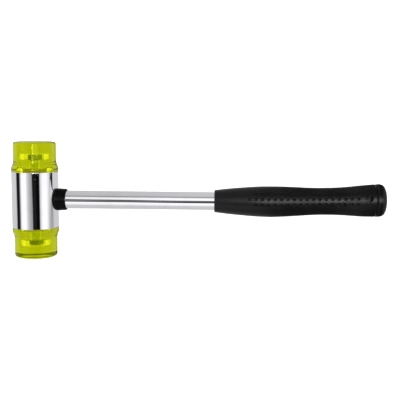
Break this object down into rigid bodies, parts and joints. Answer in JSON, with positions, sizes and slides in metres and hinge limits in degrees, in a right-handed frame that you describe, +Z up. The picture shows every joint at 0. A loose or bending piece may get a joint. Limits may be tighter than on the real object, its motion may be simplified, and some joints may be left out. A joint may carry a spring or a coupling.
{
  "type": "dead blow mallet",
  "caption": "Mallet with a chromed tubular head that holds sliding shot, screw-on yellow see-through faces, a chromed tube handle and a dimpled black rubber grip.",
  "frame": {"origin": "middle of the bounding box's base: the table under the middle of the mallet as it lies on its side", "axes": "+X from the head to the butt of the handle, Y along the head axis from the left face to the right face, +Z up from the table the mallet lies on"},
  "size_m": [0.2826, 0.0888, 0.035],
  "materials": {
    "chrome": "bright chrome plate",
    "yellow_face": "glossy see-through yellow-green plastic",
    "black_plastic": "satin moulded plastic",
    "black_rubber": "satin moulded rubber",
    "zinc_steel": "zinc plated",
    "turned_steel": "turned",
    "steel_shot": "polished balls",
    "white_nylon": "moulded nylon",
    "seal_fibre": "smooth nylon washer"
  },
  "bodies": {
    "mallet": {"head_tube": "chrome", "left_end_plug": "turned_steel", "right_end_plug": "turned_steel", "shot_cartridge": "white_nylon", "cartridge_cap": "white_nylon", "neck_spigot": "turned_steel", "neck_pin": "zinc_steel", "saddle_collar": "black_plastic", "handle_tube": "chrome", "handle_end_plug": "black_plastic", "grip": "black_rubber"},
    "shot": {"shot_charge": "steel_shot"},
    "left_washer": {"left_face_washer": "seal_fibre"},
    "left_face": {"left_face_cap": "yellow_face", "left_face_core": "yellow_face", "left_face_bolt": "zinc_steel"},
    "right_washer": {"right_face_washer": "seal_fibre"},
    "right_face": {"right_face_cap": "yellow_face", "right_face_core": "yellow_face", "right_face_bolt": "zinc_steel"}
  },
  "joints": [
    {"name": "shot_slide", "type": "slide", "parent": "mallet", "child": "shot", "axis": [0, 1, 0], "range_m": [-0.0027, 0.0027]},
    {"name": "left_face_travel", "type": "slide", "parent": "mallet", "child": "left_washer", "axis": [0, -1, 0], "range_m": [0, 0.00701]},
    {"name": "left_face_turn", "type": "hinge", "parent": "left_washer", "child": "left_face", "pos_m": [-0.1238, -0.03, 0.0175], "axis": [0, -1, 0], "range_deg": [0, 2520]},
    {"name": "right_face_travel", "type": "slide", "parent": "mallet", "child": "right_washer", "axis": [0, 1, 0], "range_m": [0, 0.00701]},
    {"name": "right_face_turn", "type": "hinge", "parent": "right_washer", "child": "right_face", "pos_m": [-0.1238, 0.03, 0.0175], "axis": [0, 1, 0], "range_deg": [0, 2520]}
  ],
  "couplings": [
    {"joint": "left_face_travel", "follows": "left_face_turn", "m_per_rad": 0.00015915},
    {"joint": "right_face_travel", "follows": "right_face_turn", "m_per_rad": 0.00015915}
  ]
}
